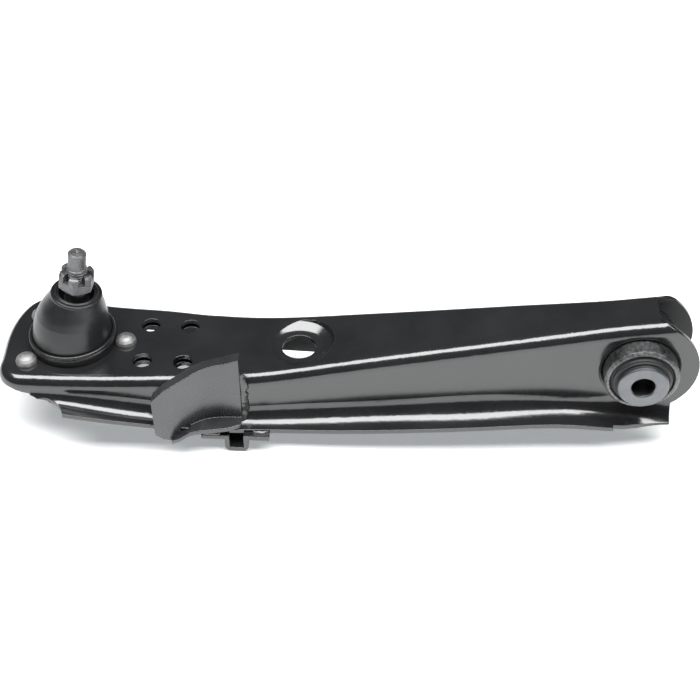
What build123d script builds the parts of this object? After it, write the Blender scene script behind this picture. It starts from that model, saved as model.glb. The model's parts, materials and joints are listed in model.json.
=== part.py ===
"""Pressed-steel lower control arm with a riveted ball joint and a rubber pivot bushing.

Millimetres. The origin is the centre of the pivot bushing bore. +X runs from the ball joint to
the pivot, +Y runs along the pivot bore to the rear of the arm, and +Z is up.
"""
import os
from math import cos, radians, sin

from build123d import *

# ---- driving dimensions -------------------------------------------------------------------
SHEET = 3.2                    # steel thickness of the channel and its reinforcement
ARM_LENGTH = 400.0             # ball joint centre to pivot centre
PLATE_TOP = -9.6               # upper face of the flat ball joint plate
TOP_BEND = 8.0                 # outer radius where the top turns down into the walls
BALL_X = -ARM_LENGTH
STUD_TILT = 8.5                # rest tilt of the stud axis towards the pivot, degrees

# channel stations: x, front half width, rear half width, top z, wall foot z, foot radius,
# flange droop in degrees, flange edge half width
NOSE_STATIONS = [
    (-423.5, 44.2, 50.0, PLATE_TOP, -18.6, 6.0, 0.0, 59.3),
    (-400.0, 44.0, 46.6, PLATE_TOP, -19.0, 7.5, 0.0, 58.9),
    (-378.0, 43.2, 43.3, PLATE_TOP, -21.0, 9.2, 0.0, 58.4),
    (-350.0, 41.6, 41.6, PLATE_TOP, -25.3, 10.3, 0.0, 56.0),
    (-325.0, 39.6, 39.6, PLATE_TOP, -29.9, 10.5, 0.0, 53.4),
    (-300.0, 37.6, 37.6, PLATE_TOP, -33.1, 10.5, 0.0, 50.8),
]
ARM_STATIONS = [
    (-300.0, 37.6, 37.6, PLATE_TOP, -33.1, 10.5, 0.0, 50.8),
    (-275.0, 35.9, 35.9, -8.7, -34.5, 10.5, 0.0, 48.8),
    (-245.0, 33.6, 33.6, -5.2, -33.2, 11.5, 0.0, 47.8),
    (-210.0, 31.0, 31.0, 0.7, -31.7, 12.0, 0.0, 47.6),
    (-160.0, 27.8, 27.8, 9.2, -28.8, 12.8, 0.0, 46.2),
    (-97.0, 24.2, 24.2, 19.8, -24.6, 13.8, 0.0, 42.9),
    (-55.0, 21.6, 21.6, 26.8, -26.5, 10.5, 0.0, 40.0),
    (-22.0, 19.7, 19.7, 32.4, -26.5, 13.0, 3.0, 38.0),
    (-6.0, 19.5, 19.5, 35.1, -22.8, 18.0, 12.0, 36.6),
]
PIVOT_STATIONS = [
    (-6.0, 19.5, 19.5, 35.1, -22.8, 18.0, 12.0, 36.6),
    (10.0, 19.5, 19.5, 37.7, -22.3, 20.0, 26.0, 32.0),
    (25.0, 19.5, 19.5, 40.3, -25.75, 19.0, 34.0, 29.0),
]
TOP_END_X = 9.5                # the top plate stops here, between the ears
TOP_END_HALF = 13.5            # half width of that opening, between the top bends
FLANGE_END_X = 25.0

NOSE_SEAM_X = NOSE_STATIONS[0][0]
NOSE_TIP_X = -450.4
NOSE_FRONT_RADIUS = 20.0
NOSE_SHOULDER = (-445.6, 34.0) # a point on the fuller rear corner
NOSE_DEPTH = 30.0
NOSE_FOOT = -18.6              # lower edge of the drawn rim round the tip
RIM_BEND = (-421.0, -23.0)     # x, z where the rim starts to fall more gently
FLANGE_START = (-411.0, -26.5) # x, z where the rim edge meets the flange
FLANGE_SCALLOP_RADIUS = 14.5

EAR_RADIUS = 40.0
EAR_FACE = 19.5                # outer faces of both ears
SLEEVE_RADIUS = 25.5
COLLAR_LENGTH = 8.0
COLLAR_WALL = 2.6
MOUTH_RADIUS = 2.8

STRUT_HOLE_RADIUS = 6.85
STRUT_HOLES_X = -333.05
STRUT_SPACING_X = 28.7
STRUT_SPACING_Y = 38.4

LINK_X = -238.0
LINK_HOLE_RADIUS = 12.3
LINK_SEAT_Z = -8.3
LINK_SEAT_RADIUS = 15.2        # flat part of the seat
LINK_SEAT_BEND = 6.0           # radius between the flat and the slanted side
LINK_SIDE_SLOPE = 29.0         # degrees
LINK_RIM_RADIUS = 23.8
LINK_RIM_LEAN = 5.0            # how far the steep rim leans out over its height

RIVET_CIRCLE = 37.6
RIVET_ANGLES = (0.0, 180.0 - 40.6, 180.0 + 40.6)
RIVET_HEAD_RADIUS = 7.6
RIVET_SHANK_RADIUS = 4.0

BALL_DROP = 8.0                # ball centre below the plate top
BALL_Z = PLATE_TOP - BALL_DROP
BALL_RADIUS = 15.0
BALL_CLEARANCE = 0.05

HOUSING_SHOULDER_RADIUS = 29.6
HOUSING_SHOULDER = 12.7        # heights above the ball centre, here and below
HOUSING_FLANGE_TOP = BALL_DROP - SHEET
HOUSING_CUP_RADIUS = 27.0
HOUSING_BORE_RADIUS = 19.5
HOUSING_LIP_RADIUS = 13.6
HOUSING_LIP = 7.6
HOUSING_SEAT_END = -20.6
HOUSING_END = -25.4
HOUSING_CRIMP_RADIUS = 20.4    # opening left in the crimped edge under the cover
COVER_RADIUS = 22.6
COVER_SHEET = 2.4
NECK_RADIUS = 6.8
SHANK_RADIUS = 8.6
TAPER_END_RADIUS = 7.2
THREAD_RADIUS = 6.4            # core of the thread
DOG_RADIUS = 6.25
NUT_START = 59.7
NUT_SLOT_FLOOR = 66.2
NUT_SLOT = 4.8
NUT_TOP = 72.4
NUT_FLATS = 22.2
NUT_TURN = 30.0                # rotation of the nut's slots about the stud, degrees
THREAD_END = 77.2
STUD_END = 88.7
COLLAR_TOP = 54.2

BOOT_WALL = 2.4
# rounds of the boot: height above the ball centre, radius, share of the stud's tilt
BOOT_ROUNDS = [
    (12.75, 27.9, 0.0), (20.0, 27.3, 0.05), (35.0, 24.8, 0.45), (43.0, 21.6, 0.75), (51.4, 18.0, 1.0)]

BUSH_SLEEVE_FRONT = 31.5       # ends of the sleeves in front of and behind the centre
BUSH_SLEEVE_REAR = 22.5
BUSH_RUBBER_RADIUS = 21.8
BUSH_BULGE_RADIUS = 19.6
BUSH_CORE_RADIUS = 12.0
BUSH_END_RADIUS = 17.35
BUSH_FRONT = 38.6
BUSH_REAR = 32.0
BUSH_BORE_RADIUS = 8.05
BUSH_DISC = 4.0                # thickness of the washer faces
FIT = 0.03                     # radial running clearance

BRACKET_SHEET = 3.2
STOP_FLARE = 29.0              # angle of the flared half of the bracket, degrees
STOP_FLARE_LENGTH = 44.0
STOP_BEND_REACH = 7.0          # length of the bend each side of the fold
STOP_FOLD = (-297.0, -41.3)    # x, y of the outer face at the crease
STOP_RIGHT_X = -276.0
STOP_WALL_SLOPE = 0.062        # the wall behind the flat half is not quite parallel to X
STOP_LIP = 8.2                 # depth of the folded lip along the top
# outline of the bracket's face in x, z: its upper run, then round the left end and back
STOP_TOP = [
    (STOP_RIGHT_X, 12.4), (-287, 9.0), (-297, 7.0), (-307.5, 4.6), (-321, -0.7), (-328, -3.7), (-334.4, -8.4)]
STOP_BOTTOM = [
    (-334.2, -31), (-334.0, -40.5), (-329.3, -47.0), (-323.7, -51.0), (-311.1, -47.0), (-297.5, -43.4),
    (STOP_RIGHT_X, -43.4)]
STOP_FOOT_RUN = [
    (-323.9, -49.5), (-317, -45.0), (-311, -41.4), (-304, -40.6), (-297.5, -40.8), (STOP_RIGHT_X, -41.0)]
STOP_FOOT_PLAN = [
    (STOP_RIGHT_X, -38), (-297, -40), (-323.9, -55.5), (-323.9, -58.0), (-318.6, -59.1), (-301, -55.5),
    (-285, -52.1), (STOP_RIGHT_X, -47.8)]
WELD_LUMPS = 9

CROSS_X = -279.2
CROSS_WIDTH = 16.5
CROSS_DEPTH = 14.3
CROSS_SPAN = 52.5              # half length along Y
CROSS_TOP = -48.3
CROSS_LEFT = -304.0
CROSS_RIGHT = -256.0
CROSS_WELDS = [(-302.0, 11.0, 51.05), (-267.0, 10.0, 48.6)]  # x, length, y of the flange edge


# ---- helpers ------------------------------------------------------------------------------
def prism_z(points, low, high):
    """A closed plan outline raised between two heights."""
    face = make_face(Polyline(*points, close=True))
    return extrude(Pos(0, 0, low) * face, high - low)


def prism_y(points, low, high):
    """A closed side outline in x, z raised between two y values."""
    face = make_face(Polyline(*points, close=True))
    face = Pos(0, high, 0) * Rot(90, 0, 0) * face
    return extrude(face, high - low, dir=(0, -1, 0))


def cylinder_z(radius, low, high, x=0.0, y=0.0):
    return Pos(x, y, low) * Cylinder(radius, high - low, align=(Align.CENTER, Align.CENTER, Align.MIN))


def cylinder_y(radius, low, high, x=0.0, z=0.0):
    body = Cylinder(radius, high - low, align=(Align.CENTER, Align.CENTER, Align.MIN))
    return Pos(x, high, z) * Rot(90, 0, 0) * body


def box_between(low, high):
    size = [b - a for a, b in zip(low, high)]
    return Pos(*low) * Box(*size, align=(Align.MIN, Align.MIN, Align.MIN))


def turned(points):
    """A solid of revolution about Z from a closed radius, height outline."""
    face = make_face(Polyline(*points, close=True))
    return revolve(Rot(90, 0, 0) * face, Axis.Z)


def ball_frame(tilt=0.0):
    """The ball centre as a frame, its Z along the stud when tilted."""
    return Location((BALL_X, 0, BALL_Z), (0, tilt, 0))


def mirrored(shape):
    return mirror(shape, about=Plane.XZ)


# ---- channel ------------------------------------------------------------------------------
def foot_points(half, foot, radius, droop, edge):
    """Outer and inner points of one wall foot and flange, as y, z with y outwards."""
    turn = radians(90.0 - droop)
    centre_y = half + radius
    outer_mid = (centre_y - radius * cos(turn / 2), foot - radius * sin(turn / 2))
    outer_end = (centre_y - radius * cos(turn), foot - radius * sin(turn))
    run = (edge - outer_end[0]) / sin(turn)
    outer_edge = (edge, outer_end[1] - run * cos(turn))
    big = radius + SHEET
    inner_mid = (centre_y - big * cos(turn / 2), foot - big * sin(turn / 2))
    inner_end = (centre_y - big * cos(turn), foot - big * sin(turn))
    inner_edge = (outer_edge[0] - SHEET * cos(turn), outer_edge[1] - SHEET * sin(turn))
    outer = [(half, foot), outer_mid, outer_end, outer_edge]
    inner = [(half - SHEET, foot), inner_mid, inner_end, inner_edge]
    return outer, inner


def hat_section(station):
    """The closed hat outline of the channel at one station."""
    x, front, rear, top, foot, radius, droop, edge = station
    front_outer, front_inner = foot_points(front, foot, radius, droop, edge)
    rear_outer, rear_inner = foot_points(rear, foot, radius, droop, edge)

    def side(points, sign):
        return [(x, sign * y, z) for y, z in points]

    def bend(half, reach, sign):
        shift = reach * (1 - sin(radians(45)))
        level = top - (TOP_BEND - reach)
        return [
            (x, sign * half, top - TOP_BEND),
            (x, sign * (half - shift), level - shift),
            (x, sign * (half - reach), level),
        ]

    fo, fi = side(front_outer, -1), side(front_inner, -1)
    ro, ri = side(rear_outer, 1), side(rear_inner, 1)
    fb, rb = bend(front, TOP_BEND, -1), bend(rear, TOP_BEND, 1)
    inside = TOP_BEND - SHEET
    fbi, rbi = bend(front - SHEET, inside, -1), bend(rear - SHEET, inside, 1)
    edges = [
        Line(fo[3], fo[2]), ThreePointArc(fo[2], fo[1], fo[0]), Line(fo[0], fb[0]),
        ThreePointArc(*fb), Line(fb[2], rb[2]), ThreePointArc(*reversed(rb)),
        Line(rb[0], ro[0]), ThreePointArc(*ro[:3]), Line(ro[2], ro[3]), Line(ro[3], ri[3]),
        Line(ri[3], ri[2]), ThreePointArc(ri[2], ri[1], ri[0]), Line(ri[0], rbi[0]),
        ThreePointArc(*rbi), Line(rbi[2], fbi[2]), ThreePointArc(*reversed(fbi)),
        Line(fbi[0], fi[0]), ThreePointArc(*fi[:3]), Line(fi[2], fi[3]), Line(fi[3], fo[3]),
    ]
    return Wire(edges)


def nose_face(inset):
    """Plan of the rounded nose, drawn in by inset."""
    front = -NOSE_STATIONS[0][1] + inset
    rear = NOSE_STATIONS[0][2] - inset
    side_x = NOSE_TIP_X + 1.4 + inset
    radius = NOSE_FRONT_RADIUS - inset
    front_corner = (side_x + radius, front)
    left_front = (side_x, front + radius)
    tip = (NOSE_TIP_X + inset, 2.0)
    shoulder = (NOSE_SHOULDER[0] + 0.9 * inset, NOSE_SHOULDER[1] - 0.43 * inset)
    rear_corner = (NOSE_SEAM_X - 1.5, rear)
    outline = [
        Line((NOSE_SEAM_X, front), front_corner),
        TangentArc(front_corner, left_front, tangent=(-1, 0)),
        Spline(left_front, tip, shoulder, rear_corner, tangents=[(0, 1), (1, 0)]),
        Line(rear_corner, (NOSE_SEAM_X, rear)),
        Line((NOSE_SEAM_X, rear), (NOSE_SEAM_X, front)),
    ]
    return make_face(outline)


def nose_block(inset):
    """The nose as a solid block with its top edge rounded."""
    top = PLATE_TOP - inset
    block = extrude(Pos(0, 0, top - NOSE_DEPTH) * nose_face(inset), NOSE_DEPTH)
    rim = [e for e in block.edges() if abs(e.center().Z - top) < 0.01 and e.center().X < NOSE_SEAM_X - 0.1]
    return fillet(rim, TOP_BEND - inset)


def nose():
    return nose_block(0) - nose_block(SHEET)


def rim_cutter():
    """Everything below the rim of the nose, which falls towards the flange."""
    start_x, start_z = FLANGE_START
    outline = [
        (-470, NOSE_FOOT), (-437, NOSE_FOOT), RIM_BEND, (start_x, start_z), (start_x, -80), (-470, -80)]
    return prism_y(outline, -70, 70)


def flange_scallops():
    """Round bites where both flanges begin."""
    x = FLANGE_START[0] - 2
    front = cylinder_z(FLANGE_SCALLOP_RADIUS, -60, -20, x, -61)
    rear = cylinder_z(FLANGE_SCALLOP_RADIUS, -60, -20, x, 63)
    return front + rear


def flange_trims():
    """The narrower stretch of both flanges beside the pivot."""
    end = FLANGE_END_X + 1
    outline = [(-15, -60), (-15, -34.9), (-6, -34.4), (8, -31.9), (end, -28.6), (end, -60)]
    front = prism_z(outline, -70, -35)
    return front + mirrored(front)


def channel_blank():
    """The drawn hat section, closed at the nose and open at the pivot end."""
    near = Solid.make_loft([hat_section(s) for s in NOSE_STATIONS])
    far = Solid.make_loft([hat_section(s) for s in ARM_STATIONS])
    pivot_end = Solid.make_loft([hat_section(s) for s in PIVOT_STATIONS])
    blank = near + far + pivot_end + nose()
    blank = blank - rim_cutter() - flange_scallops() - flange_trims()
    beyond_ears = box_between((TOP_END_X, -60, -24), (60, 60, 60)) - cylinder_y(EAR_RADIUS, -60, 60)
    opening = box_between((TOP_END_X, -TOP_END_HALF, -60), (60, TOP_END_HALF, 60))
    return blank - beyond_ears - opening


def ear():
    """The front ear, with a drawn collar that grips the bushing sleeve."""
    inner = -EAR_FACE + SHEET
    disc = cylinder_y(EAR_RADIUS, -EAR_FACE, inner)
    return disc & box_between((FLANGE_END_X - 1, -60, -60), (60, 60, 60))


def ear_collar():
    inner = -EAR_FACE + SHEET
    return cylinder_y(SLEEVE_RADIUS + COLLAR_WALL, inner - 1, inner + COLLAR_LENGTH)


def mouth_cutter():
    """Rounds the mouth of the front collar where the wall turns inwards."""
    hole = SLEEVE_RADIUS + FIT
    start = (hole, EAR_FACE - MOUTH_RADIUS)
    middle = (hole + MOUTH_RADIUS * (1 - cos(radians(45))), EAR_FACE - MOUTH_RADIUS * (1 - sin(radians(45))))
    end = (hole + MOUTH_RADIUS, EAR_FACE)
    outline = [
        ThreePointArc(start, middle, end),
        Polyline(end, (end[0], EAR_FACE + 2), (hole - 2, EAR_FACE + 2), (hole - 2, start[1]), start),
    ]
    return Rot(90, 0, 0) * revolve(Rot(90, 0, 0) * make_face(outline), Axis.Z)


def seat_turned(shift):
    """A round dish: flat floor, an arc up to a gentle slope, a steep rim and the space above it."""
    slope = radians(LINK_SIDE_SLOPE)
    bend = LINK_SEAT_BEND + shift
    floor = LINK_SEAT_Z - shift
    start = (LINK_SEAT_RADIUS, floor)
    middle = (LINK_SEAT_RADIUS + bend * sin(slope / 2), floor + bend * (1 - cos(slope / 2)))
    end = (LINK_SEAT_RADIUS + bend * sin(slope), floor + bend * (1 - cos(slope)))
    reach = LINK_RIM_RADIUS + 0.6 * shift
    knee = (reach, end[1] + (reach - end[0]) * sin(slope) / cos(slope))
    high = knee[1] + 14
    outline = [
        Line((0, floor), start), ThreePointArc(start, middle, end),
        Polyline(end, knee, (reach + LINK_RIM_LEAN, high), (0, high), (0, floor))]
    return Pos(LINK_X, 0, 0) * revolve(Rot(90, 0, 0) * make_face(outline), Axis.Z)


def link_seat_blank():
    """Outside of the round pressed seat for the stabiliser link."""
    return seat_turned(SHEET)


def link_seat_hollow():
    return seat_turned(0)


def strut_holes(low, high):
    holes = [
        cylinder_z(STRUT_HOLE_RADIUS, low, high,
                   STRUT_HOLES_X + sx * STRUT_SPACING_X / 2, sy * STRUT_SPACING_Y / 2)
        for sx in (-1, 1) for sy in (-1, 1)]
    return Compound(holes)


def rivet_points():
    return [(BALL_X + RIVET_CIRCLE * cos(radians(a)), RIVET_CIRCLE * sin(radians(a))) for a in RIVET_ANGLES]


def rivet_holes(low, high):
    return Compound([cylinder_z(RIVET_SHANK_RADIUS + 0.1, low, high, x, y) for x, y in rivet_points()])


def under_top_plate():
    """Space under the middle of the top plate's sheet round the link seat."""
    return Solid.make_loft([hat_outline(s) for s in ARM_STATIONS[:5]])


def hat_outline(station):
    x, front, rear, top = station[:4]
    level = top - SHEET / 3
    points = [(x, -front, -60), (x, rear, -60), (x, rear, level), (x, -front, level)]
    return Wire.make_polygon([Vector(*p) for p in points], close=True)


def arm_channel():
    body = channel_blank() + ear() + mirrored(ear()) + ear_collar() + mirrored(ear_collar())
    bore = cylinder_y(SLEEVE_RADIUS + FIT, -60, 60)
    body = body - bore - mouth_cutter() - mirrored(mouth_cutter())
    body = body + (link_seat_blank() & under_top_plate())
    body = body - link_seat_hollow() - cylinder_z(LINK_HOLE_RADIUS, -60, 20, LINK_X)
    body = body - strut_holes(-30, 0) - rivet_holes(-30, 0)
    return body - cylinder_z(HOUSING_SHOULDER_RADIUS + 0.3, -30, 0, BALL_X)


# ---- reinforcement plate ------------------------------------------------------------------
def plate_outline(inset):
    """Plan of the reinforcement plate, drawn in by inset."""
    rows = [(-300.0, 33.7), (-325.0, 35.8), (-355.0, 38.2), (-378.0, 39.5), (-418.0, 40.0)]
    side = [(x, -(half - inset)) for x, half in rows]
    nose_side = [(-437.0 + inset, -27.0)]
    outline = side + nose_side
    return outline + [(x, -y) for x, y in reversed(outline)]


def reinforcement_plate():
    top = PLATE_TOP - 2 * SHEET
    low = top - SHEET
    skirt_low = low - 9.0
    plate = prism_z(plate_outline(0), skirt_low, top)
    plate = fillet(plate.edges().group_by(Axis.Z)[-1].filter_by(lambda e: abs(e.center().X + 300) > 1), 4.5)
    hollow = prism_z(plate_outline(SHEET), skirt_low - 1, low)
    plate = plate - hollow - box_between((-460, -60, skirt_low - 1), (-395, 60, low))
    plate = plate - box_between((-301, -60, skirt_low - 1), (-290, 60, low))
    plate = plate - strut_holes(-40, 0) - rivet_holes(-40, 0)
    return plate - cylinder_z(HOUSING_CUP_RADIUS + 0.4, -40, 0, BALL_X)


# ---- brackets and welds -------------------------------------------------------------------
def stop_plan(near, far):
    """Plan face of the stop bracket between two depths behind its outer side."""
    return make_face(stop_path(near) + stop_path(far) + [
        Line(stop_path(near)[0] @ 0, stop_path(far)[0] @ 0),
        Line(stop_path(near)[2] @ 1, stop_path(far)[2] @ 1)])


def stop_path(depth):
    """Flared half, bend and flat half of the bracket at one depth behind its outer side."""
    fold_x, fold_y = STOP_FOLD
    angle = radians(STOP_FLARE)
    rise = STOP_WALL_SLOPE
    along = Vector(cos(angle), sin(angle))
    behind = Vector(-sin(angle), cos(angle)) * depth
    flat_behind = Vector(-rise, 1) * depth
    bend_start = Vector(fold_x, fold_y) - along * STOP_BEND_REACH
    bend_end = Vector(fold_x, fold_y) + Vector(1, rise) * STOP_BEND_REACH
    tip = Vector(fold_x, fold_y) - along * STOP_FLARE_LENGTH
    right = Vector(STOP_RIGHT_X, fold_y + (STOP_RIGHT_X - fold_x) * rise + depth)
    bend = TangentArc(bend_start + behind, bend_end + flat_behind, tangent=along)
    return [Line(tip + behind, bend_start + behind), bend, Line(bend @ 1, right)]


def upright(face, low, high):
    return extrude(Pos(0, 0, low) * face, high - low)


def band_below(points, drop):
    """The run of an outline in x, z and the same run lowered, as one closed band."""
    return points + [(x, z - drop) for x, z in reversed(points)]


def stop_bracket():
    """Folded stop with a lip along its top and a foot on the channel's flange."""
    face = upright(stop_plan(0, BRACKET_SHEET), -60, 30) & prism_y(STOP_TOP + STOP_BOTTOM, -90, -30)
    lip_band = prism_y(band_below(STOP_TOP, BRACKET_SHEET), -90, -20)
    foot_band = prism_y(band_below(STOP_FOOT_RUN, BRACKET_SHEET), -90, -20)
    top_lip = upright(stop_plan(0, STOP_LIP), -60, 30) & lip_band
    foot = prism_z(STOP_FOOT_PLAN, -60, -20) & foot_band
    body = face + top_lip + foot
    return body - channel_envelope(0.15)


def channel_envelope(gap):
    """The channel's outside near the stop bracket, grown by a gap and closed below."""
    return Solid.make_loft([envelope_section(s, gap) for s in NOSE_STATIONS[3:]]) + Solid.make_loft(
        [envelope_section(s, gap) for s in ARM_STATIONS[:3]])


def envelope_section(station, gap):
    x, half, _, top, foot, radius, droop, edge = station
    outer, _ = foot_points(half + gap, foot, radius - gap, droop, edge + gap)
    start, middle, end, tip = [(x, -y, z + gap * (z < foot - 0.01)) for y, z in outer]
    shift = TOP_BEND * (1 - sin(radians(45)))
    bend_start = (x, -(half + gap), top - TOP_BEND)
    bend_middle = (x, -(half + gap - shift), top + gap - shift)
    bend_end = (x, -(half + gap - TOP_BEND), top + gap)
    start = (x, start[1], foot)
    low = tip[2] - SHEET - 2 * gap
    return Wire([
        Line(bend_start, start), ThreePointArc(start, middle, end), Line(end, tip),
        Line(tip, (x, tip[1], low)), Line((x, tip[1], low), (x, 0, low)),
        Line((x, 0, low), (x, 0, top + gap)),
        Line((x, 0, top + gap), bend_end), ThreePointArc(bend_end, bend_middle, bend_start)])


def cross_bracket():
    """Hat strap across the arm under both flanges."""
    left, right = CROSS_X - CROSS_WIDTH / 2, CROSS_X + CROSS_WIDTH / 2
    low = CROSS_TOP - CROSS_DEPTH
    outer = [(CROSS_LEFT, CROSS_TOP), (CROSS_RIGHT, CROSS_TOP), (CROSS_RIGHT, CROSS_TOP - BRACKET_SHEET),
             (right, CROSS_TOP - BRACKET_SHEET), (right, low), (left, low),
             (left, CROSS_TOP - BRACKET_SHEET), (CROSS_LEFT, CROSS_TOP - BRACKET_SHEET)]
    strap = prism_y(outer, -CROSS_SPAN, CROSS_SPAN)
    bottom_edges = [e for e in strap.edges().filter_by(Axis.Y) if abs(e.center().Z - low) < 0.01]
    strap = fillet(bottom_edges, 4.2)
    inner = CROSS_WIDTH / 2 - BRACKET_SHEET
    floor = low + BRACKET_SHEET
    hollow = prism_y([
        (CROSS_X - inner, CROSS_TOP + 1), (CROSS_X + inner, CROSS_TOP + 1), (CROSS_X + inner, floor),
        (CROSS_X - inner, floor)], -60, 60)
    return strap - hollow


def stop_bracket_weld():
    """Upright fillet bead between the bracket's edge and the channel wall."""
    wall, face = -35.0, -39.4
    bead = None
    for step in range(WELD_LUMPS):
        z = -4.5 - 4.0 * step
        width = 4.0 + 0.7 * (step % 2)
        toe = STOP_RIGHT_X + width
        lump = prism_z([(STOP_RIGHT_X, face), (toe, wall), (STOP_RIGHT_X, wall)], z - 2, z + 2)
        bead = lump if bead is None else bead + lump
    return bead - channel_envelope(0.05)


def cross_bracket_welds():
    """Short beads that tie the strap to the edges of both flanges."""
    beads = []
    for x, length, edge in CROSS_WELDS:
        side = [(-edge, CROSS_TOP), (-CROSS_SPAN, CROSS_TOP), (-CROSS_SPAN, CROSS_TOP + 0.6),
                (-edge - 0.9, CROSS_TOP + 2.9), (-edge, CROSS_TOP + 3.1)]
        bead = Pos(x, 0, 0) * extrude(Plane.YZ * make_face(Polyline(*side, close=True)), length)
        beads += [bead, mirrored(bead)]
    return Compound(beads)


# ---- ball joint ---------------------------------------------------------------------------
def housing_flange():
    """Three-eared flange that lies between the channel and the reinforcement plate."""
    top, low = HOUSING_FLANGE_TOP, HOUSING_FLANGE_TOP - SHEET
    disc = cylinder_z(33.0, low, top)
    half = RIVET_HEAD_RADIUS + 0.6
    for angle in RIVET_ANGLES:
        tip = cylinder_z(half, low, top, RIVET_CIRCLE)
        web = box_between((0, -half, low), (RIVET_CIRCLE, half, top))
        disc = disc + Rot(0, 0, angle) * (tip + web)
    return disc


def ball_joint_housing():
    shoulder, cup, crimp = HOUSING_SHOULDER_RADIUS, HOUSING_CUP_RADIUS, HOUSING_CRIMP_RADIUS
    cover_low = HOUSING_SEAT_END - COVER_SHEET
    body = turned([
        (HOUSING_LIP_RADIUS, HOUSING_LIP), (21.0, HOUSING_SHOULDER), (shoulder - 0.8, HOUSING_SHOULDER),
        (shoulder, HOUSING_SHOULDER - 0.8), (shoulder, 0), (cup, 0), (cup, HOUSING_END + 1.6),
        (cup - 1.6, HOUSING_END), (crimp, HOUSING_END), (crimp, cover_low), (COVER_RADIUS, cover_low),
        (COVER_RADIUS, HOUSING_SEAT_END), (HOUSING_BORE_RADIUS, HOUSING_SEAT_END),
        (HOUSING_BORE_RADIUS, HOUSING_LIP)])
    below = cylinder_z(HOUSING_SHOULDER_RADIUS + 1, -1, HOUSING_FLANGE_TOP - SHEET)
    body = body - (below - cylinder_z(HOUSING_CUP_RADIUS, -1, 3))
    flange = housing_flange() - cylinder_z(HOUSING_BORE_RADIUS + 1, -5, 20)
    body = ball_frame() * (body + flange)
    return body - rivet_holes(-40, 0)


def seat(low, high):
    """A liner ring between two heights, hollowed for the ball."""
    ring = cylinder_z(HOUSING_BORE_RADIUS - FIT, low, high) - Sphere(BALL_RADIUS + BALL_CLEARANCE)
    return ball_frame() * ring


def upper_ball_seat():
    return seat(0.6, HOUSING_LIP - 0.05)


def lower_ball_seat():
    return seat(-17.6, -0.6)


def preload_spring():
    """Cone washer that pushes the lower seat against the ball."""
    cone = turned([(8, -17.65), (8, -18.85), (18.6, HOUSING_SEAT_END + 0.02), (18.6, HOUSING_SEAT_END + 1.2)])
    return ball_frame() * cone


def ball_joint_cover():
    disc = turned([
        (3.1, HOUSING_SEAT_END), (COVER_RADIUS - FIT, HOUSING_SEAT_END),
        (COVER_RADIUS - FIT, HOUSING_SEAT_END - COVER_SHEET), (17, HOUSING_SEAT_END - COVER_SHEET),
        (14, HOUSING_SEAT_END - COVER_SHEET - 1.6), (3.1, HOUSING_SEAT_END - COVER_SHEET - 1.6)])
    return ball_frame() * disc


def grease_fitting():
    top = HOUSING_SEAT_END - COVER_SHEET - 1.6
    shank = turned([(1.2, -19.8), (3.07, -19.8), (3.07, top), (1.2, top)])
    hexagon = Pos(0, 0, top - 3.6) * extrude(RegularPolygon(4.0, 6, major_radius=False), 3.6)
    hexagon = hexagon - cylinder_z(1.2, -60, 0)
    nipple = turned([
        (1.2, top - 3.6), (2.6, top - 3.6), (2.2, top - 7.0), (3.2, top - 8.6), (3.2, top - 9.6),
        (1.9, top - 11.6), (1.2, top - 11.6)])
    return ball_frame() * (shank + hexagon + nipple)


def grease_check_ball():
    top = HOUSING_SEAT_END - COVER_SHEET - 1.6
    return ball_frame() * Pos(0, 0, top - 10.2) * Sphere(1.15)


def ball_joint_rivets():
    """Three rivets through channel, housing flange and reinforcement plate."""
    top, low = PLATE_TOP, PLATE_TOP - 3 * SHEET
    head = RIVET_HEAD_RADIUS
    profile = [
        (0, low - 4.4), (3.4, low - 4.1), (6.0, low - 2.4), (7.0, low - 0.8), (7.0, low),
        (RIVET_SHANK_RADIUS, low), (RIVET_SHANK_RADIUS, top), (head, top), (head, top + 1.3),
        (head * 0.9, top + 3.0), (head * 0.68, top + 4.6), (head * 0.38, top + 5.7), (0, top + 6.0)]
    return Compound([Pos(x, y, 0) * turned(profile) for x, y in rivet_points()])


def ball_stud():
    """Ball, neck, taper, thread and plain end of the stud, with its cotter hole."""
    ball = Sphere(BALL_RADIUS) - cylinder_z(6, -20, -14.2)
    shank = turned([
        (0, 5), (NECK_RADIUS, 5), (NECK_RADIUS, 22), (SHANK_RADIUS, 31), (SHANK_RADIUS, 44),
        (TAPER_END_RADIUS, NUT_START - 1.6), (THREAD_RADIUS, NUT_START - 0.8),
        (THREAD_RADIUS, THREAD_END - 0.9), (DOG_RADIUS, THREAD_END), (DOG_RADIUS, STUD_END - 1.2),
        (DOG_RADIUS - 1.2, STUD_END),
        (1.6, STUD_END), (0.7, STUD_END - 0.9), (0, STUD_END - 0.9)])
    stud = ball + shank - cotter_hole()
    return ball_frame(STUD_TILT) * stud


def cotter_hole():
    return Rot(0, 0, NUT_TURN) * cylinder_y(1.7, -15, 15, 0, NUT_SLOT_FLOOR + 2.4)


def castle_nut():
    """Slotted hexagon nut: the slots are cut through its six flats."""
    hexagon = RegularPolygon(NUT_FLATS / 2, 6, major_radius=False)
    blank = Pos(0, 0, NUT_START) * extrude(hexagon, NUT_TOP - NUT_START)
    crown = turned([
        (0, NUT_START), (NUT_FLATS / 2, NUT_START), (13.2, NUT_START + 1.2), (13.2, NUT_TOP - 4.0),
        (12.2, NUT_TOP - 1.6), (11.2, NUT_TOP - 0.5), (10.2, NUT_TOP), (0, NUT_TOP)])
    nut = (blank & crown) - cylinder_z(THREAD_RADIUS + 0.05, 0, 100)
    for turn in range(3):
        slot = box_between((-20, -NUT_SLOT / 2, NUT_SLOT_FLOOR), (20, NUT_SLOT / 2, NUT_TOP + 1))
        nut = nut - Rot(0, 0, 60 * turn + 30) * slot
    return ball_frame(STUD_TILT) * Rot(0, 0, NUT_TURN) * nut


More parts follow.
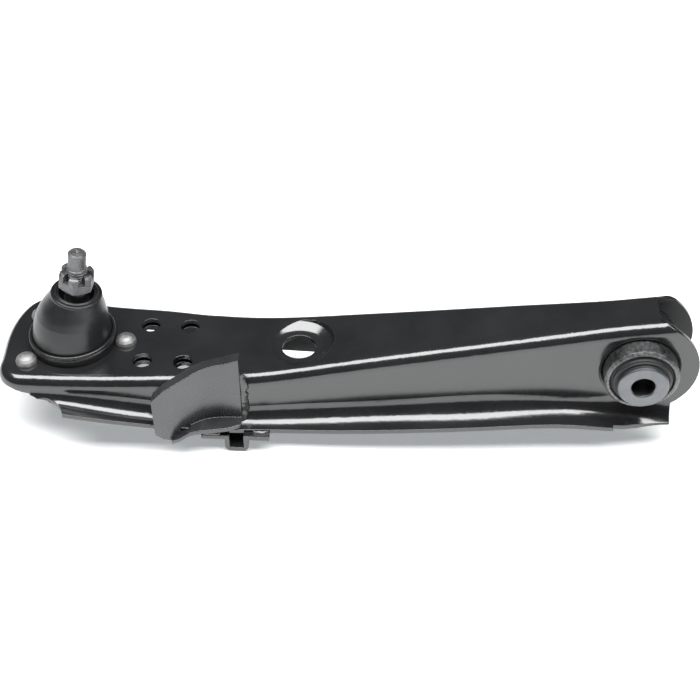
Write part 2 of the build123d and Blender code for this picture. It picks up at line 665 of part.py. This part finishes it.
# ---- dust boot ----------------------------------------------------------------------------
def boot_ring(height, radius, lean):
    """One round of the boot: its centre line leans over from the housing to the stud."""
    return ball_frame(STUD_TILT * lean) * Pos(0, 0, height) * Wire.make_circle(radius)


def dust_boot():
    outer = Solid.make_loft([boot_ring(*r) for r in BOOT_ROUNDS])
    inner = Solid.make_loft([boot_ring(h, r - BOOT_WALL, lean) for h, r, lean in BOOT_ROUNDS])
    return outer - inner


def boot_lower_ring():
    low = HOUSING_SHOULDER + 0.05
    return ball_frame() * turned([
        (28.2, low), (30.2, low), (30.7, low + 0.6), (30.7, low + 3.2), (30.3, low + 4.2),
        (29.4, low + 4.7), (28.7, low + 4.2), (28.2, low + 3.0)])


def boot_upper_ring():
    """Lip that closes the boot on the stud."""
    grip = SHANK_RADIUS + 0.05
    body = turned([
        (grip, 40), (10.6, 40), (11.4, 42), (13.8, 50.6), (14.6, 51.7), (17.9, 51.7), (18.0, 52.6),
        (17.2, 53.6), (16.4, 53.0), (15.7, 54.0), (14.8, COLLAR_TOP), (13.9, 53.4), (13.1, 53.7),
        (12.2, 53.2), (11.6, 50.5), (10.6, 47.5), (grip, 43.5)])
    return ball_frame(STUD_TILT) * body


# ---- pivot bushing ------------------------------------------------------------------------
def turned_y(points):
    """A solid of revolution about Y from a closed radius, y outline."""
    return Rot(-90, 0, 0) * turned(points)


def bushing_outer_sleeve():
    front, rear = -BUSH_SLEEVE_FRONT, BUSH_SLEEVE_REAR
    radius, bore = SLEEVE_RADIUS, BUSH_RUBBER_RADIUS + FIT
    return turned_y([
        (bore, front + 0.7), (bore + 0.7, front), (radius - 1.5, front), (radius, front + 1.5),
        (radius, rear - 1.5), (radius - 1.5, rear), (bore + 0.7, rear), (bore, rear - 0.7)])


def rubber_end(sleeve_end, end):
    """One end of the bushing rubber: a bulge that stands out of the sleeve."""
    return [
        (BUSH_RUBBER_RADIUS, sleeve_end - 1.6), (BUSH_BULGE_RADIUS + 0.6, sleeve_end - 0.6),
        (BUSH_BULGE_RADIUS + 0.2, sleeve_end + 0.8), (BUSH_BULGE_RADIUS, end - 1.4),
        (BUSH_BULGE_RADIUS - 1.2, end), (BUSH_CORE_RADIUS + FIT, end)]


def bushing_rubber():
    rear = rubber_end(BUSH_SLEEVE_REAR, BUSH_REAR - BUSH_DISC - 0.3)
    front = rubber_end(BUSH_SLEEVE_FRONT, BUSH_FRONT - BUSH_DISC - 0.3)
    return turned_y([(r, -y) for r, y in reversed(front)] + rear)


def core_end(end):
    """One end of the inner sleeve, with its flat washer face."""
    face = BUSH_END_RADIUS
    return [
        (BUSH_CORE_RADIUS, end - BUSH_DISC), (face, end - BUSH_DISC), (face, end - 0.8), (face - 0.8, end),
        (BUSH_BORE_RADIUS + 0.8, end), (BUSH_BORE_RADIUS, end - 0.8)]


def bushing_inner_sleeve():
    return turned_y([(r, -y) for r, y in reversed(core_end(BUSH_FRONT))] + core_end(BUSH_REAR))


NODES = [
    arm_channel, reinforcement_plate, stop_bracket, stop_bracket_weld, cross_bracket, cross_bracket_welds,
    ball_joint_housing, upper_ball_seat, lower_ball_seat, preload_spring, ball_joint_cover, grease_fitting,
    grease_check_ball, ball_joint_rivets, ball_stud, castle_nut, dust_boot, boot_lower_ring, boot_upper_ring,
    bushing_outer_sleeve, bushing_rubber, bushing_inner_sleeve,
]


if __name__ == "__main__":
    os.makedirs("parts", exist_ok=True)
    for make in NODES:
        export_step(make(), f"parts/{make.__name__}.step")
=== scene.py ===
"""Looks of the control arm: materials, boot, bushing line, stud thread, weld beads, studio, camera."""
import bpy
import json
from math import cos, pi, radians, sin
from mathutils import Matrix, Vector, noise


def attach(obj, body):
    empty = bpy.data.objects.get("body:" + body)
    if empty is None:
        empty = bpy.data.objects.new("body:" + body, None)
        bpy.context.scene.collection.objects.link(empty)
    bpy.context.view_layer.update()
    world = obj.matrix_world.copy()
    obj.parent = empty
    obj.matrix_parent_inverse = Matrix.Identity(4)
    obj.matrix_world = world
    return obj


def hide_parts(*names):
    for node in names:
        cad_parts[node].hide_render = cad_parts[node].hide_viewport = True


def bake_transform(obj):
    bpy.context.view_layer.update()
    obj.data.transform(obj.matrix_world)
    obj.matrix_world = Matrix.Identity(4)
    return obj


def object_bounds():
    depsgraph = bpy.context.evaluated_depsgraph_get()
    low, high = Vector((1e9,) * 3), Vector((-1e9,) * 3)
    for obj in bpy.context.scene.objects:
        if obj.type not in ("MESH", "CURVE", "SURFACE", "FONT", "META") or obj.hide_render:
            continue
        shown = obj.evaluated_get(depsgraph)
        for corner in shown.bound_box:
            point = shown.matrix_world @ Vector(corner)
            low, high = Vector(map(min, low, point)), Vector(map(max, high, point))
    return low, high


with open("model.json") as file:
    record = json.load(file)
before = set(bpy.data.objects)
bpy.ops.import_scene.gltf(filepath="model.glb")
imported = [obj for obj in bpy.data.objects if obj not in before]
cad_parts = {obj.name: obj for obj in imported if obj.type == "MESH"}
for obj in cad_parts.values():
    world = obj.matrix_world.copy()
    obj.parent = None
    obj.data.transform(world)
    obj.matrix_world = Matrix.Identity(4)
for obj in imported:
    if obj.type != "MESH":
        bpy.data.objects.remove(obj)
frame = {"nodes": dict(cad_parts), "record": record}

CAD_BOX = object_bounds()
MM = 0.001
NODES = frame["nodes"]

# the ball joint, in millimetres in the shared frame
BALL_CENTRE = (-400.0, 0.0, -17.6)
STUD_TILT = 8.5                # degrees towards the pivot
SMOOTH_ANGLE = radians(38)


# ---- materials ----------------------------------------------------------------------------
DULL_INSIDE = 0.75             # roughness of the thin coat inside the channel
PAINT_EDGE = 0.0009            # radius that softens sharp edges under paint, in metres
STEEL_EDGE = 0.0004
EDGE_SAMPLES = 8
# bounds of the inward measure: y times the normal's y, with a share of the normal's z
INWARD_FULL, INWARD_NONE = -0.009, -0.006
UPWARD_SHARE = 0.1
NOISE_RUN = (0.3, 0.7)         # noise values that give the low and the high end


class Shader:
    """A small helper that builds one procedural Principled material."""

    def __init__(self, name, edge=None):
        self.material = bpy.data.materials.new(name)
        self.material.use_nodes = True
        self.tree = self.material.node_tree
        self.bsdf = self.tree.nodes["Principled BSDF"]
        self.coords = self.tree.nodes.new("ShaderNodeTexCoord").outputs["Object"]
        if edge:
            self.round_edges(edge)

    def round_edges(self, radius):
        """Sharp edges that catch the light as if they had a small radius."""
        node = self.tree.nodes.new("ShaderNodeBevel")
        node.samples = EDGE_SAMPLES
        node.inputs["Radius"].default_value = radius
        self.link(node.outputs["Normal"], self.bsdf.inputs["Normal"])

    def set(self, **values):
        """Plain values for the Principled inputs named, with _ for a space."""
        for name, value in values.items():
            self.bsdf.inputs[name.replace("_", " ")].default_value = value

    def link(self, output, target):
        """A wire from one node's output to another's input."""
        self.tree.links.new(output, target)

    def noise(self, scale, detail=4.0, roughness=0.55):
        """A noise that stays fixed to the piece."""
        node = self.tree.nodes.new("ShaderNodeTexNoise")
        node.inputs["Scale"].default_value = scale
        node.inputs["Detail"].default_value = detail
        node.inputs["Roughness"].default_value = roughness
        self.link(self.coords, node.inputs["Vector"])
        return node.outputs["Fac"]

    def spread(self, value, low, high, run=NOISE_RUN):
        """Low to high as the value goes from one end of the run to the other, and level beyond."""
        node = self.tree.nodes.new("ShaderNodeMapRange")
        node.inputs["From Min"].default_value, node.inputs["From Max"].default_value = run
        node.inputs["To Min"].default_value = low
        node.inputs["To Max"].default_value = high
        self.link(value, node.inputs["Value"])
        return node.outputs["Result"]

    def bump(self, value, distance, strength):
        """Relief that follows the value, on top of any normal that is there already."""
        node = self.tree.nodes.new("ShaderNodeBump")
        node.inputs["Strength"].default_value = strength
        node.inputs["Distance"].default_value = distance
        self.link(value, node.inputs["Height"])
        if self.bsdf.inputs["Normal"].links:
            self.link(self.bsdf.inputs["Normal"].links[0].from_socket, node.inputs["Normal"])
        self.link(node.outputs["Normal"], self.bsdf.inputs["Normal"])

    def math(self, operation, *values):
        """A Math node over numbers and the outputs of other nodes."""
        node = self.tree.nodes.new("ShaderNodeMath")
        node.operation = operation
        for value, target in zip(values, node.inputs):
            if isinstance(value, float):
                target.default_value = value
            else:
                self.link(value, target)
        return node.outputs["Value"]

    def inward(self, value):
        """The value on faces that look down or towards the arm's middle plane, 0 on all others."""
        place, facing = [self.tree.nodes.new("ShaderNodeSeparateXYZ") for _ in range(2)]
        self.link(self.coords, place.inputs["Vector"])
        self.link(self.coords.node.outputs["Normal"], facing.inputs["Vector"])
        product = self.math("MULTIPLY", place.outputs["Y"], facing.outputs["Y"])
        hidden = self.math("MULTIPLY_ADD", facing.outputs["Z"], UPWARD_SHARE, product)
        return self.spread(hidden, value, 0.0, (INWARD_FULL, INWARD_NONE))

    def colour(self, value, low, high):
        """A base colour that runs from low to high with a noise."""
        node = self.tree.nodes.new("ShaderNodeValToRGB")
        for element, place, colour in zip(node.color_ramp.elements, NOISE_RUN, (low, high)):
            element.position = place
            element.color = (*colour, 1)
        self.link(value, node.inputs["Fac"])
        self.link(node.outputs["Color"], self.bsdf.inputs["Base Color"])

    def rough(self, value, low, high):
        """A roughness that runs from low to high with a noise."""
        self.link(self.spread(value, low, high), self.bsdf.inputs["Roughness"])


def paint_coat(name, low, high, rough_low, rough_high):
    """Electrocoat: thin and glossy with a little orange peel, but dull inside the channel."""
    shader = Shader(name, edge=PAINT_EDGE)
    shader.set(IOR=1.8)
    wide = shader.noise(26.0, 3.0)
    speckle = shader.noise(420.0, 3.0, 0.7)
    shader.colour(wide, low, high)
    outside = shader.spread(speckle, rough_low, rough_high)
    coat = shader.math("MAXIMUM", outside, shader.inward(DULL_INSIDE))
    shader.link(coat, shader.bsdf.inputs["Roughness"])
    shader.bump(speckle, 0.00003, 0.06)
    shader.bump(wide, 0.0004, 0.05)
    return shader.material


def steel(name, low, high, rough_low, rough_high, scale=300.0, pit=0.00006):
    """Bare or plated steel with fine mottling and shallow pits."""
    shader = Shader(name, edge=STEEL_EDGE)
    shader.set(Metallic=1.0)
    grain = shader.noise(scale, 5.0, 0.65)
    shader.colour(grain, low, high)
    shader.rough(shader.noise(scale * 0.5, 3.0), rough_low, rough_high)
    shader.bump(grain, pit, 0.5)
    return shader.material


def rubber(name, low, high, rough_low, rough_high, bump=0.00006):
    """Moulded rubber: a soft bloom over a fine grain."""
    shader = Shader(name)
    shader.set(IOR=1.52)
    bloom = shader.noise(45.0, 4.0, 0.6)
    grain = shader.noise(700.0, 3.0, 0.6)
    shader.colour(bloom, low, high)
    shader.rough(bloom, rough_low, rough_high)
    shader.bump(grain, bump, 0.35)
    shader.bump(bloom, 0.0006, 0.08)
    return shader.material


def polymer():
    """The pale plastic of the ball's two seats."""
    shader = Shader("acetal")
    shader.set(Subsurface_Weight=0.1, Subsurface_Radius=(0.002, 0.002, 0.0015))
    wide = shader.noise(60.0, 3.0)
    shader.colour(wide, (0.58, 0.56, 0.50), (0.66, 0.64, 0.58))
    shader.rough(wide, 0.38, 0.5)
    shader.bump(shader.noise(900.0), 0.00003, 0.3)
    return shader.material


MATERIALS = {
    "black_paint": paint_coat("black_ecoat", (0.011, 0.0115, 0.0125), (0.018, 0.0185, 0.0195), 0.13, 0.21),
    "grey_bracket_paint": paint_coat(
        "bracket_ecoat", (0.017, 0.0185, 0.020), (0.033, 0.035, 0.037), 0.25, 0.30),
    "weld_bead": paint_coat("weld_ecoat", (0.02, 0.021, 0.022), (0.05, 0.051, 0.053), 0.22, 0.42),
    # the housing is black, and its colour is darker still as painted shade where its shoulder sits in shadow
    # under the boot
    "housing_paint": rubber("housing_black_painted_shade", (0.006, 0.006, 0.0065), (0.012, 0.012, 0.0125), 0.45, 0.6),
    "polymer_seat": polymer(),
    "spring_steel": steel("blued_spring", (0.10, 0.10, 0.11), (0.17, 0.17, 0.18), 0.28, 0.4),
    "zinc_steel": steel("zinc_plate", (0.42, 0.42, 0.41), (0.60, 0.60, 0.58), 0.26, 0.42),
    "rivet_steel": steel(
        "rivet_bright", (0.24, 0.24, 0.24), (0.42, 0.42, 0.415), 0.55, 0.70, 240.0, 0.00022),
    "phosphate_steel": steel(
        "phosphate_grey", (0.13, 0.13, 0.135), (0.25, 0.25, 0.255), 0.42, 0.62, 420.0, 0.00012),
    "boot_rubber": rubber("boot_satin", (0.012, 0.0125, 0.0135), (0.022, 0.0225, 0.024), 0.28, 0.36),
    "boot_ring": rubber("ring_satin", (0.012, 0.012, 0.0125), (0.02, 0.02, 0.021), 0.22, 0.32),
    "sleeve_steel": steel(
        "sleeve_oiled", (0.06, 0.061, 0.063), (0.24, 0.242, 0.246), 0.36, 0.55, 420.0, 0.0003),
    "bushing_rubber": rubber(
        "bush_matte", (0.012, 0.012, 0.012), (0.026, 0.026, 0.027), 0.5, 0.68, 0.00025),
    "core_steel": steel(
        "core_machined", (0.15, 0.157, 0.163), (0.20, 0.208, 0.214), 0.36, 0.5, 160.0, 0.00004),
}


def paint_nodes():
    """Every CAD node takes the material of the slot that the record gives it."""
    for row in frame["record"]["subparts"]:
        mesh = NODES[row["node"]].data
        mesh.materials.clear()
        mesh.materials.append(MATERIALS[row["material_slot"]])


# ---- mesh helpers -------------------------------------------------------------------------
def new_piece(name, points, faces, slot, body=None):
    """A smooth mesh piece from millimetre points, with the finish of a material slot."""
    mesh = bpy.data.meshes.new(name)
    mesh.from_pydata([Vector(p) * MM for p in points], [], faces)
    mesh.update()
    mesh.shade_smooth()
    mesh.set_sharp_from_angle(angle=SMOOTH_ANGLE)
    mesh.materials.append(MATERIALS[slot])
    piece = bpy.data.objects.new(name, mesh)
    bpy.context.scene.collection.objects.link(piece)
    if body:
        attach(piece, body)
    return piece


def joined_rings(rings, closed):
    """Points and quads through rings of equal count, closed from the last to the first if asked."""
    count = len(rings[0])
    points = [p for ring in rings for p in ring]
    faces = []
    for row in range(len(rings) if closed else len(rings) - 1):
        below, above = row * count, (row + 1) % len(rings) * count
        for i in range(count):
            j = (i + 1) % count
            faces.append((below + i, below + j, above + j, above + i))
    return points, faces


def capped_rings(rings):
    """Points and faces through open-ended rings of equal count, with a face over each end."""
    points, faces = joined_rings(rings, False)
    count = len(rings[0])
    faces.append(tuple(reversed(range(count))))
    faces.append(tuple(range(len(points) - count, len(points))))
    return points, faces


def smooth_between(stops, steps):
    """Points along a Catmull-Rom curve through the stops."""
    out = []
    last = len(stops) - 1
    for i in range(last):
        a, b = stops[max(i - 1, 0)], stops[i]
        c, d = stops[i + 1], stops[min(i + 2, last)]
        for k in range(steps):
            out.append(tuple(curve_value(k / steps, *values) for values in zip(a, b, c, d)))
    return out + [stops[-1]]


def curve_value(t, p, q, r, s):
    """The Catmull-Rom value between q and r at t from 0 to 1."""
    square = (2 * p - 5 * q + 4 * r - s) * t * t
    cube = (3 * q - p - 3 * r + s) * t ** 3
    return 0.5 * (2 * q + (r - p) * t + square + cube)


def on_stud(x, y, height, tilt=STUD_TILT):
    """The shared frame's point for one in the stud's own frame, with height along its axis."""
    turn = radians(tilt)
    return (BALL_CENTRE[0] + x * cos(turn) + height * sin(turn), BALL_CENTRE[1] + y,
            BALL_CENTRE[2] - x * sin(turn) + height * cos(turn))


# ---- dust boot ----------------------------------------------------------------------------
BOOT_ROUNDS = [                # height, radius, share of the stud's tilt
    (12.9, 27.2, 0.0), (15.5, 27.9, 0.0), (20.0, 27.5, 0.05), (27.0, 26.5, 0.22), (35.0, 24.6, 0.45),
    (41.0, 22.4, 0.68), (46.5, 19.8, 0.88), (50.2, 18.1, 0.98), (51.5, 17.6, 1.0)]
BOOT_WALL = 2.2
BOOT_SEAM = 4                  # the round where the two halves of the boot meet
ROUND_SIDES = 128
TURNS = [2 * pi * i / ROUND_SIDES for i in range(ROUND_SIDES)]
BOOT_STEPS = 8                 # rounds drawn from one stop to the next
RING_STEPS = 4


def boot_ring(height, radius, lean):
    """A circle round the ball joint's axis, which takes a share of the stud's tilt."""
    return [on_stud(radius * cos(a), radius * sin(a), height, STUD_TILT * lean) for a in TURNS]


def boot_shell(name, stops):
    """One half of the boot as a closed shell."""
    outline = smooth_between(stops, BOOT_STEPS)
    outer = [boot_ring(*stop) for stop in outline]
    inner = [boot_ring(height, radius - BOOT_WALL, lean) for height, radius, lean in reversed(outline)]
    points, faces = joined_rings(outer + inner, True)
    piece = new_piece(name, points, faces, "boot_rubber")
    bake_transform(piece)
    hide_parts("dust_boot")


def dust_boot():
    """The boot in two halves, split at the seam round."""
    boot_shell("dust_boot_skirt", BOOT_ROUNDS[:BOOT_SEAM + 1])
    boot_shell("dust_boot_neck", BOOT_ROUNDS[BOOT_SEAM:])


def turned_ring(name, stops, lean, slot, body, node):
    """A closed ring turned about the ball joint's axis, its section a smooth loop through the stops."""
    loop = smooth_between(stops + [stops[0]], RING_STEPS)[:-1]
    rings = [boot_ring(height, radius, lean) for radius, height in loop]
    points, faces = joined_rings(rings, True)
    piece = new_piece(name, points, faces, slot, body)
    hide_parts(node)


CLAMP_SECTION = [              # radius and height of the ring that holds the boot on the housing
    (28.3, 12.85), (30.2, 12.85), (30.7, 13.6), (30.6, 14.5), (30.1, 14.9), (30.1, 15.2), (30.6, 15.6),
    (30.7, 16.4), (30.3, 17.2), (29.4, 17.5), (28.6, 17.1), (28.2, 16.2), (28.3, 15.4)]
LIP_SECTION = [                # the boot's lip, which closes on the stud's shank
    (8.7, 40.4), (10.6, 40.2), (11.6, 42.0), (13.6, 48.0), (14.4, 51.0), (17.4, 51.3), (17.9, 52.0),
    (17.8, 52.9), (17.2, 53.5), (16.5, 53.2), (16.0, 52.7), (15.5, 53.2), (15.0, 54.0), (14.3, 54.2),
    (13.7, 53.8), (13.2, 53.1), (12.7, 53.3), (12.2, 52.8), (11.8, 51.0), (11.0, 48.0), (9.6, 45.2),
    (8.7, 44.0)]
RUBBER_LINE = [                # radius and y of the raised line round the front of the bushing's rubber
    (18.6, -32.3), (19.5, -32.5), (19.9, -32.9), (19.5, -33.3), (18.6, -33.4)]


def rubber_line():
    """The thin moulded line round the bushing's rubber, between the sleeve and the washer face."""
    rings = [[(radius * cos(a), y, radius * sin(a)) for a in TURNS] for radius, y in RUBBER_LINE]
    points, faces = joined_rings(rings, True)
    new_piece("bushing_rubber_line", points, faces, "boot_ring", "arm")


def boot_rings():
    """The ring round the boot's foot and the lip at its top."""
    turned_ring("boot_clamp_ring", CLAMP_SECTION, 0.0, "boot_ring", "arm", "boot_lower_ring")
    turned_ring("boot_lip", LIP_SECTION, 1.0, "boot_rubber", "boot_collar", "boot_upper_ring")


# ---- stud thread --------------------------------------------------------------------------
THREAD_PITCH = 2.1
THREAD_LOW, THREAD_HIGH = 58.9, 76.4
THREAD_ROOT, THREAD_CREST = 6.4, 7.2
THREAD_SIDES = 72
THREAD_HALF = 0.46 * THREAD_PITCH  # half width of the ridge at its root
CREST_SHARE = 0.22             # the crest's width as a share of the root's
RUN_OUT_TURNS = 0.5            # turns over which the ridge fades at each end
LOWEST_RIDGE = 0.05            # share of the full height that is left at the very end


def stud_thread():
    """The helical ridge round the stud's threaded length, run out at both ends."""
    turns = (THREAD_HIGH - THREAD_LOW) / THREAD_PITCH
    count = int(turns * THREAD_SIDES)
    flat = THREAD_HALF * CREST_SHARE
    rings = []
    for i in range(count + 1):
        share = i / count
        angle = 2 * pi * turns * share
        height = THREAD_LOW + (THREAD_HIGH - THREAD_LOW) * share
        run_out = min(1.0, share * turns / RUN_OUT_TURNS, (1 - share) * turns / RUN_OUT_TURNS)
        crest = THREAD_ROOT + (THREAD_CREST - THREAD_ROOT) * max(run_out, LOWEST_RIDGE)
        section = [(THREAD_ROOT, -THREAD_HALF), (crest, -flat), (crest, flat), (THREAD_ROOT, THREAD_HALF)]
        rings.append([
            on_stud(radius * cos(angle), radius * sin(angle), height + offset) for radius, offset in section])
    points, faces = capped_rings(rings)
    new_piece("stud_thread", points, faces, "phosphate_steel", "stud")


# ---- weld beads ---------------------------------------------------------------------------
BEAD_POINTS = 9                # across the bead's face
BEAD_SWELL = 0.7               # how far the face bulges, in millimetres
LUMP_RIPPLE, LUMP_WAVE = 0.55, 0.16  # the uneven and the regular share of the swell
WAVE_STEP = 1.5                # radians of the regular wave from one row to the next
END_SLOPE = 3.2                # how fast a bead rises from its two ends
END_START = 0.4                # rows' worth of that rise at the very ends
RIPPLE_STEP = 0.31             # how far the noise moves on from one row to the next
RIPPLE_APART = 1.7             # keeps the noise of two seeds apart
FACE_GAP = 0.1                 # keeps a bead just off the sheet metal behind it


def ripple(seed, place, amount):
    """A slow uneven wave along a bead."""
    return amount * noise.noise(Vector((seed, place * RIPPLE_STEP, seed * RIPPLE_APART)))


def bead(name, toes, backs, seed, replaced):
    """A lumpy bead between two runs of points: convex in front, closed behind."""
    rings = []
    total = len(toes)
    for i, ((first, last), corner) in enumerate(zip(toes, backs)):
        end = min(1.0, END_SLOPE * (min(i, total - 1 - i) + END_START) / total)
        lump = 1 + ripple(seed, i, LUMP_RIPPLE) + LUMP_WAVE * sin(i * WAVE_STEP + seed)
        ring = []
        for k in range(BEAD_POINTS):
            share = k / (BEAD_POINTS - 1)
            chord = first.lerp(last, share)
            out = (chord - corner).normalized()
            ring.append(chord + out * BEAD_SWELL * end * lump * sin(pi * share))
        ring.append(corner)
        rings.append(ring)
    points, faces = capped_rings(rings)
    piece = new_piece(name, points, faces, "weld_bead", "arm")
    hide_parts(replaced)


BRACKET_EDGE_X = -276.0
WALL_Y = -36.0                 # the channel wall beside the bracket's edge
WALL_START_Z = -3.0            # height at which the bead starts
FOOT_Z, FOOT_RADIUS = -34.5, 10.5  # where the wall turns out into its foot, and the turn's radius
FOOT_TURN = 0.9                # how far round the foot the bead may run, in radians
BRACKET_ROWS = 46
BRACKET_BEAD = 41.0            # length of the bead down the bracket's edge
BRACKET_WIDTH, WIDTH_GAIN = 3.0, 2.0  # width at the top, and what it gains half way down WIDTH_RUN
WIDTH_RUN = 48.0
WIDTH_RIPPLE, RISE_RIPPLE = 1.6, 0.8
WALL_RISE, FOOT_RISE = 2.9, 2.2  # how far the bead stands out, above and below FOOT_DROP
FOOT_DROP = 33.0
TOE_GAP = 0.12                 # keeps the bead's outer edge just off the wall


def wall_point(x, drop):
    """A point on the channel beside the bracket, a way down its wall and round its foot."""
    z = WALL_START_Z - drop
    if z >= FOOT_Z:
        return Vector((x, WALL_Y, z))
    turn = min((FOOT_Z - z) / FOOT_RADIUS, FOOT_TURN)
    return Vector((x, WALL_Y - FOOT_RADIUS * (1 - cos(turn)), FOOT_Z - FOOT_RADIUS * sin(turn)))


def bracket_weld():
    """The bead between the stop bracket's right edge and the channel's wall and foot."""
    toes, backs = [], []
    for i in range(BRACKET_ROWS):
        drop = BRACKET_BEAD * i / (BRACKET_ROWS - 1)
        width = BRACKET_WIDTH + WIDTH_GAIN * sin(pi * drop / WIDTH_RUN) + ripple(3.1, i, WIDTH_RIPPLE)
        rise = (WALL_RISE if drop < FOOT_DROP else FOOT_RISE) + ripple(5.0, i, RISE_RIPPLE)
        inner = wall_point(BRACKET_EDGE_X + FACE_GAP, drop)
        outer = wall_point(BRACKET_EDGE_X + width, drop)
        toes.append((inner + Vector((0, -rise, 0)), outer + Vector((0, -TOE_GAP, 0))))
        backs.append(inner + Vector((0, -FACE_GAP, 0)))
    bead("stop_bracket_weld_bead", toes, backs, 2.3, "stop_bracket_weld")


STRAP_TOP = -48.3
STRAP_WELDS = [(-302.5, 12.0, 51.1), (-267.5, 11.0, 48.7)]  # x, length, y of the flange edge
STRAP_REACH = 52.4             # just inside the strap's half length of 52.5
STRAP_STEPS = 14
STRAP_RISE, STRAP_RIPPLE = 3.0, 1.2  # how far a bead climbs the flange's edge, more or less
STRAP_WIDTH = 1.6              # width of a bead at its ends, and half its width in the middle


def strap_welds():
    """Four short beads on the strap, against the edges of the two flanges."""
    for index, (x, length, edge) in enumerate(STRAP_WELDS):
        for side in (-1, 1):
            toes, backs = [], []
            for i in range(STRAP_STEPS + 1):
                place = x + length * i / STRAP_STEPS
                lift = STRAP_RISE + ripple(index + 7.0 * side, i, STRAP_RIPPLE)
                reach = min(STRAP_REACH, edge + STRAP_WIDTH + STRAP_WIDTH * sin(pi * i / STRAP_STEPS))
                face = side * (edge + FACE_GAP / 2)
                top = Vector((place, face, STRAP_TOP + lift))
                toe = Vector((place, side * reach, STRAP_TOP + FACE_GAP))
                toes.append((top, toe) if side > 0 else (toe, top))
                backs.append(Vector((place, face, STRAP_TOP + FACE_GAP / 2)))
            name = f"strap_weld_{'near' if side < 0 else 'far'}_{index + 1}"
            bead(name, toes, backs, 4.0 + index + side, "cross_bracket_welds")


# ---- studio, in metres --------------------------------------------------------------------
MIDDLE_X = -0.2                # about half way along the arm
FLOOR_GAP = 0.0005
FLOOR_SIZE = 8
SOFTBOX_PLACE = (MIDDLE_X, -0.15, 1.5)
SOFTBOX_TARGET = (MIDDLE_X, -0.05, 0)
SOFTBOX_SIZE = (2.6, 0.9)
SOFTBOX_POWER = 70
WORLD_GREY = 0.05


def floor_paper():
    """Pale paper that glows a little, so that shadows on it stay faint."""
    shader = Shader("floor_paper")
    shader.set(Roughness=0.9, Emission_Color=(0.93, 0.98, 1.0, 1), Emission_Strength=0.35)
    shader.colour(shader.noise(3.0, 2.0), (0.80, 0.80, 0.80), (0.84, 0.84, 0.84))
    return shader.material


def floor():
    """A wide sheet just under the arm's lowest point."""
    low = CAD_BOX[0][2] - FLOOR_GAP
    bpy.ops.mesh.primitive_plane_add(size=FLOOR_SIZE, location=(MIDDLE_X, 0, low))
    plane = bpy.context.object
    plane.name = "studio_floor"
    plane.data.materials.append(floor_paper())


def softbox():
    """The only lamp: a wide rectangle overhead."""
    light = bpy.data.lights.new("overhead_softbox", "AREA")
    light.shape = "RECTANGLE"
    light.size, light.size_y = SOFTBOX_SIZE
    light.energy = SOFTBOX_POWER
    lamp = bpy.data.objects.new("overhead_softbox", light)
    bpy.context.scene.collection.objects.link(lamp)
    lamp.location = SOFTBOX_PLACE
    aim = Vector(SOFTBOX_TARGET) - Vector(SOFTBOX_PLACE)
    lamp.rotation_euler = aim.to_track_quat("-Z", "Y").to_euler()


def surroundings():
    """An even dark grey all round."""
    world = bpy.data.worlds.new("studio")
    world.use_nodes = True
    background = world.node_tree.nodes["Background"]
    background.inputs["Color"].default_value = (WORLD_GREY, WORLD_GREY, WORLD_GREY, 1)
    bpy.context.scene.world = world


CAMERA_PLACE = Vector((-0.16245, -0.70889, 0.62666))
CAMERA_AZIMUTH = radians(3.173)
CAMERA_ELEVATION = radians(41.868)
CAMERA_LENS = 68.93


def camera():
    """A camera in front of the arm that looks down on it."""
    turn, rise = CAMERA_AZIMUTH, CAMERA_ELEVATION
    right = Vector((cos(turn), sin(turn), 0))
    up = Vector((-sin(turn) * sin(rise), cos(turn) * sin(rise), cos(rise)))
    back = right.cross(up)
    data = bpy.data.cameras.new("camera")
    data.lens = CAMERA_LENS
    data.sensor_width = 36
    body = bpy.data.objects.new("camera", data)
    body.matrix_world = Matrix.Translation(CAMERA_PLACE) @ Matrix((right, up, back)).transposed().to_4x4()
    bpy.context.scene.collection.objects.link(body)
    bpy.context.scene.camera = body


paint_nodes()
dust_boot()
boot_rings()
rubber_line()
stud_thread()
bracket_weld()
strap_welds()
bpy.context.scene.view_settings.view_transform = "Standard"
floor()
softbox()
surroundings()
camera()
